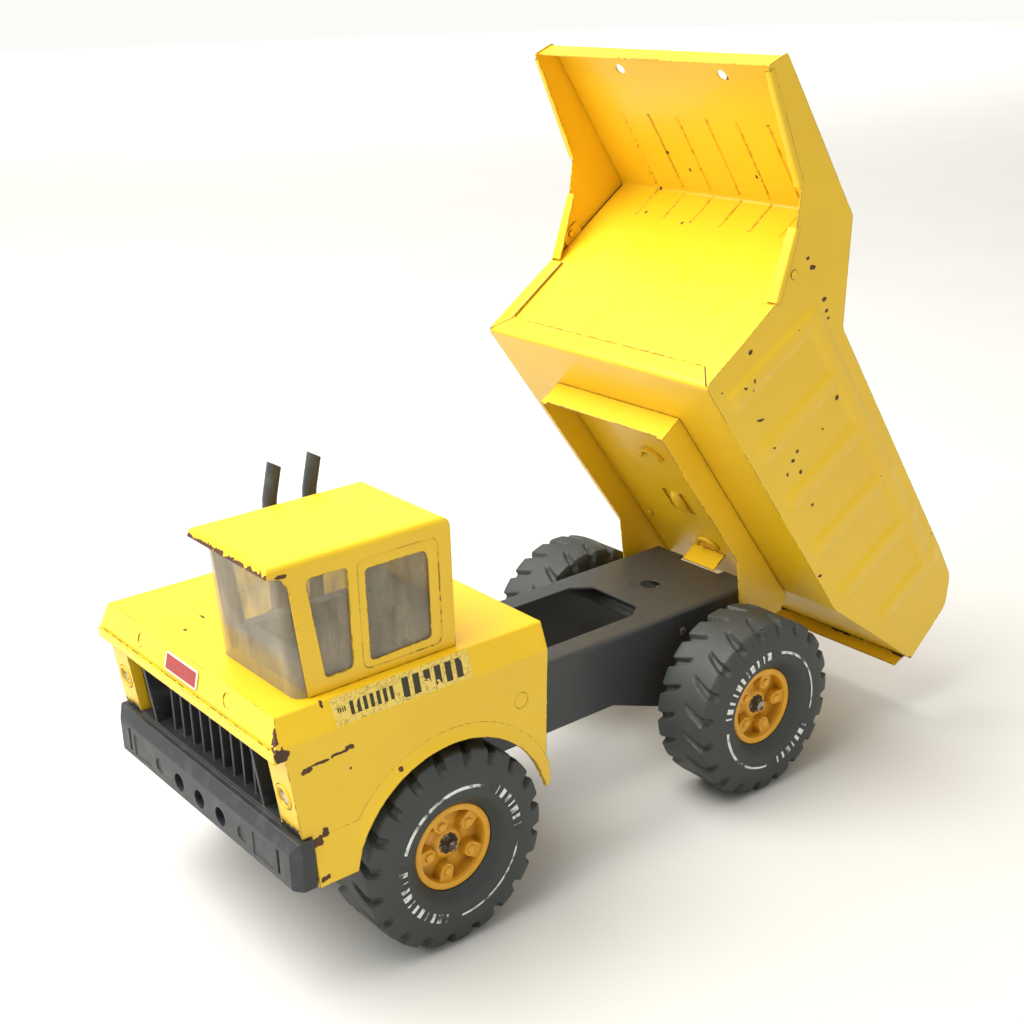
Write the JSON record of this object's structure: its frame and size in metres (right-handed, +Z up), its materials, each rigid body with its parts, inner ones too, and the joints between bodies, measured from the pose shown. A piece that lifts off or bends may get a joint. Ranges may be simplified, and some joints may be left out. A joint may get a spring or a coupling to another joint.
{
  "type": "toy dump truck",
  "caption": "Pressed-steel toy dump truck with a side cab, a tipping bed with a canopy, and four rolling wheels with lugged tyres.",
  "frame": {"origin": "on the ground, half-way along and across the truck as it stands with its bed tipped up", "axes": "-Y is the front of the truck, +X its left side, +Z up"},
  "size_m": [0.2062, 0.5167, 0.4405],
  "materials": {
    "yellow_enamel": "glossy baked enamel with chipped edges",
    "frame_enamel": "semi-gloss baked enamel, worn",
    "black_plastic": "moulded plastic",
    "tyre_rubber": "moulded tyre with white sidewall ring",
    "hub_plastic": "moulded, slight sheen",
    "plated_steel": "dull plating with rust spots",
    "lamp_plating": "tarnished bright plating",
    "smoke_glazing": "clear smoke-tinted moulding",
    "grey_plastic": "moulded plastic",
    "badge_print": "printed film on thin sheet"
  },
  "bodies": {
    "chassis": {"axle_spacer_front_left": "black_plastic", "axle_spacer_front_right": "black_plastic", "axle_spacer_rear_left": "black_plastic", "axle_spacer_rear_right": "black_plastic", "body_bracket": "frame_enamel", "body_rivet_left": "plated_steel", "body_rivet_right": "plated_steel", "bracket_rivet_left": "plated_steel", "bracket_rivet_right": "plated_steel", "cab_interior": "grey_plastic", "cab_shell": "yellow_enamel", "chassis_frame": "frame_enamel", "exhaust_stack_front": "black_plastic", "exhaust_stack_rear": "black_plastic", "frame_tie_tube": "frame_enamel", "front_axle": "plated_steel", "front_body": "yellow_enamel", "grille_bumper": "black_plastic", "headlight_left": "lamp_plating", "headlight_right": "lamp_plating", "hinge_clip_left": "plated_steel", "hinge_clip_right": "plated_steel", "hinge_pin": "plated_steel", "hinge_spacer_left": "black_plastic", "hinge_spacer_right": "black_plastic", "hood_badge": "badge_print", "push_nut_front_left": "plated_steel", "push_nut_front_right": "plated_steel", "push_nut_rear_left": "plated_steel", "push_nut_rear_right": "plated_steel", "rear_axle": "plated_steel", "tie_rivet_left": "plated_steel", "tie_rivet_right": "plated_steel", "window_insert": "smoke_glazing"},
    "bed": {"bed_headboard": "yellow_enamel", "bed_tub": "yellow_enamel", "headboard_rivet_left": "yellow_enamel", "headboard_rivet_right": "yellow_enamel", "hinge_pan": "yellow_enamel", "pan_rivet_front_left": "yellow_enamel", "pan_rivet_front_right": "yellow_enamel", "pan_rivet_rear_left": "yellow_enamel", "pan_rivet_rear_right": "yellow_enamel"},
    "wheel_front_left": {"tyre_front_left": "tyre_rubber", "hub_front_left": "hub_plastic"},
    "wheel_front_right": {"tyre_front_right": "tyre_rubber", "hub_front_right": "hub_plastic"},
    "wheel_rear_left": {"tyre_rear_left": "tyre_rubber", "hub_rear_left": "hub_plastic"},
    "wheel_rear_right": {"tyre_rear_right": "tyre_rubber", "hub_rear_right": "hub_plastic"}
  },
  "joints": [
    {"name": "bed_tilt", "type": "hinge", "parent": "chassis", "child": "bed", "pos_m": [0, 0.1064, 0.0916], "axis": [1, 0, 0], "range_deg": [0, 55]},
    {"name": "wheel_front_left_spin", "type": "hinge", "parent": "chassis", "child": "wheel_front_left", "pos_m": [0.0949, -0.1582, 0.056], "axis": [1, 0, 0], "continuous": true},
    {"name": "wheel_front_right_spin", "type": "hinge", "parent": "chassis", "child": "wheel_front_right", "pos_m": [-0.0949, -0.1582, 0.056], "axis": [1, 0, 0], "continuous": true},
    {"name": "wheel_rear_left_spin", "type": "hinge", "parent": "chassis", "child": "wheel_rear_left", "pos_m": [0.0949, 0.077, 0.056], "axis": [1, 0, 0], "continuous": true},
    {"name": "wheel_rear_right_spin", "type": "hinge", "parent": "chassis", "child": "wheel_rear_right", "pos_m": [-0.0949, 0.077, 0.056], "axis": [1, 0, 0], "continuous": true}
  ]
}
